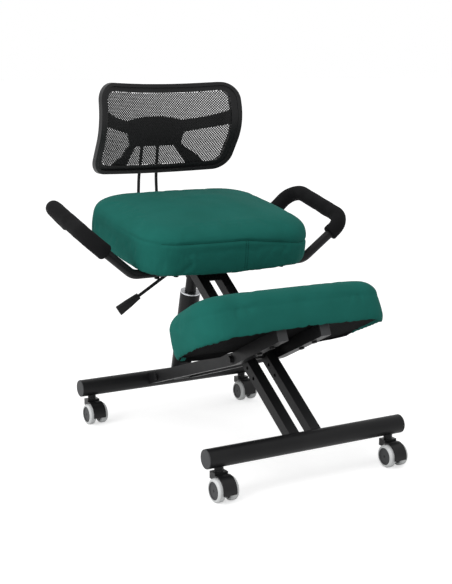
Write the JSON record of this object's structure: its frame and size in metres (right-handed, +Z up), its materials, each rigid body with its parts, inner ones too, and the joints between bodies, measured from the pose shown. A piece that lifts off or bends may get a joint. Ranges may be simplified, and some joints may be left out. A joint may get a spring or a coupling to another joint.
{
  "type": "kneeling chair",
  "caption": "Kneeling office chair on casters: padded seat and knee pad on a crossed steel frame with a gas lift, mesh back rest and padded arm loops.",
  "frame": {"origin": "on the floor, under the middle of the chair's bounding box", "axes": "+Z up, the sitter faces -Y, X across the chair"},
  "size_m": [0.73, 0.8054, 0.844],
  "materials": {
    "frame_black": "satin black powder coat",
    "bright_steel": "zinc plated",
    "plug_grey": "fine grain",
    "board_wood": "raw plywood",
    "dust_cloth": "spun cloth",
    "green_fabric": "plain stretch knit",
    "grip_foam": "foam skin",
    "back_plastic": "fine grain",
    "mesh_net": "open net",
    "caster_plastic": "satin",
    "hub_grey": "satin",
    "tyre_grey": "soft tread"
  },
  "bodies": {
    "front_frame": {"front_foot_tube": "frame_black", "front_plugs": "plug_grey", "front_caster_stems": "bright_steel", "main_beam_left": "frame_black", "main_beam_right": "frame_black", "beam_tie": "frame_black", "front_fasteners": "frame_black", "seat_plate": "frame_black", "seat_board": "board_wood", "seat_dust_cover": "dust_cloth", "seat_cushion": "green_fabric", "arm_loop_left": "frame_black", "arm_loop_right": "frame_black", "arm_grip_left": "grip_foam", "arm_grip_right": "grip_foam", "back_bracket": "frame_black", "back_rods": "frame_black", "lumbar_panel": "back_plastic", "back_frame": "back_plastic", "back_mesh": "mesh_net"},
    "rear_frame": {"rear_foot_tube": "frame_black", "rear_plugs": "plug_grey", "rear_caster_stems": "bright_steel", "knee_arm_left": "frame_black", "knee_arm_right": "frame_black", "knee_tie": "frame_black", "rear_fasteners": "frame_black", "knee_board": "board_wood", "knee_dust_cover": "dust_cloth", "knee_cushion": "green_fabric"},
    "gas_cylinder": {"gas_cylinder": "frame_black", "column_head": "frame_black", "lever_pin": "bright_steel"},
    "column": {"column_foot": "frame_black", "column_tube": "frame_black", "column_guide": "bright_steel", "piston_rod": "bright_steel"},
    "lever": {"lever_rod": "frame_black", "lever_knob": "back_plastic"},
    "release_button": {"release_button": "bright_steel"},
    "caster_front_left": {"caster_front_left_hood": "caster_plastic"},
    "caster_front_left_inner": {"caster_front_left_inner_hub": "hub_grey", "caster_front_left_inner_tyre": "tyre_grey"},
    "caster_front_left_outer": {"caster_front_left_outer_hub": "hub_grey", "caster_front_left_outer_tyre": "tyre_grey"},
    "caster_front_right": {"caster_front_right_hood": "caster_plastic"},
    "caster_front_right_inner": {"caster_front_right_inner_hub": "hub_grey", "caster_front_right_inner_tyre": "tyre_grey"},
    "caster_front_right_outer": {"caster_front_right_outer_hub": "hub_grey", "caster_front_right_outer_tyre": "tyre_grey"},
    "caster_rear_left": {"caster_rear_left_hood": "caster_plastic"},
    "caster_rear_left_inner": {"caster_rear_left_inner_hub": "hub_grey", "caster_rear_left_inner_tyre": "tyre_grey"},
    "caster_rear_left_outer": {"caster_rear_left_outer_hub": "hub_grey", "caster_rear_left_outer_tyre": "tyre_grey"},
    "caster_rear_right": {"caster_rear_right_hood": "caster_plastic"},
    "caster_rear_right_inner": {"caster_rear_right_inner_hub": "hub_grey", "caster_rear_right_inner_tyre": "tyre_grey"},
    "caster_rear_right_outer": {"caster_rear_right_outer_hub": "hub_grey", "caster_rear_right_outer_tyre": "tyre_grey"}
  },
  "joints": [
    {"name": "seat_lift", "type": "hinge", "parent": "front_frame", "child": "rear_frame", "pos_m": [0, -0.14553, 0.23373], "axis": [-1, 0, 0], "range_deg": [-5, 10]},
    {"name": "column_pivot", "type": "hinge", "parent": "front_frame", "child": "gas_cylinder", "pos_m": [0, 0.142, 0.43431], "axis": [1, 0, 0], "range_deg": [-6.25, 3.15]},
    {"name": "column_slide", "type": "slide", "parent": "gas_cylinder", "child": "column", "axis": [0, 0.247, -0.969], "range_m": [-0.02844, 0.05668]},
    {"name": "lever_pull", "type": "hinge", "parent": "gas_cylinder", "child": "lever", "pos_m": [-0.011, 0.14769, 0.41202], "axis": [0, 0.969, 0.247], "range_deg": [0, 8], "stiffness_Nm_per_rad": 2},
    {"name": "button_press", "type": "slide", "parent": "gas_cylinder", "child": "release_button", "axis": [0, 0.247, -0.969], "range_m": [0, 0.0018]},
    {"name": "caster_front_left_swivel", "type": "hinge", "parent": "front_frame", "child": "caster_front_left", "pos_m": [-0.22, -0.35299, 0.063], "axis": [0, 0, 1], "continuous": true},
    {"name": "caster_front_left_inner_roll", "type": "hinge", "parent": "caster_front_left", "child": "caster_front_left_inner", "pos_m": [-0.204, -0.37299, 0.0255], "axis": [1, 0, 0], "continuous": true},
    {"name": "caster_front_left_outer_roll", "type": "hinge", "parent": "caster_front_left", "child": "caster_front_left_outer", "pos_m": [-0.236, -0.37299, 0.0255], "axis": [1, 0, 0], "continuous": true},
    {"name": "caster_front_right_swivel", "type": "hinge", "parent": "front_frame", "child": "caster_front_right", "pos_m": [0.22, -0.35299, 0.063], "axis": [0, 0, 1], "continuous": true},
    {"name": "caster_front_right_inner_roll", "type": "hinge", "parent": "caster_front_right", "child": "caster_front_right_inner", "pos_m": [0.204, -0.37299, 0.0255], "axis": [1, 0, 0], "continuous": true},
    {"name": "caster_front_right_outer_roll", "type": "hinge", "parent": "caster_front_right", "child": "caster_front_right_outer", "pos_m": [0.236, -0.37299, 0.0255], "axis": [1, 0, 0], "continuous": true},
    {"name": "caster_rear_left_swivel", "type": "hinge", "parent": "rear_frame", "child": "caster_rear_left", "pos_m": [-0.22, 0.28701, 0.063], "axis": [0, 0, 1], "continuous": true},
    {"name": "caster_rear_left_inner_roll", "type": "hinge", "parent": "caster_rear_left", "child": "caster_rear_left_inner", "pos_m": [-0.204, 0.26701, 0.0255], "axis": [1, 0, 0], "continuous": true},
    {"name": "caster_rear_left_outer_roll", "type": "hinge", "parent": "caster_rear_left", "child": "caster_rear_left_outer", "pos_m": [-0.236, 0.26701, 0.0255], "axis": [1, 0, 0], "continuous": true},
    {"name": "caster_rear_right_swivel", "type": "hinge", "parent": "rear_frame", "child": "caster_rear_right", "pos_m": [0.22, 0.28701, 0.063], "axis": [0, 0, 1], "continuous": true},
    {"name": "caster_rear_right_inner_roll", "type": "hinge", "parent": "caster_rear_right", "child": "caster_rear_right_inner", "pos_m": [0.204, 0.26701, 0.0255], "axis": [1, 0, 0], "continuous": true},
    {"name": "caster_rear_right_outer_roll", "type": "hinge", "parent": "caster_rear_right", "child": "caster_rear_right_outer", "pos_m": [0.236, 0.26701, 0.0255], "axis": [1, 0, 0], "continuous": true}
  ],
  "couplings": [
    {"joint": "column_pivot", "follows": "seat_lift", "ratio": -0.6195},
    {"joint": "column_slide", "follows": "seat_lift", "m_per_rad": 0.3236},
    {"joint": "button_press", "follows": "lever_pull", "m_per_rad": 0.0125}
  ]
}
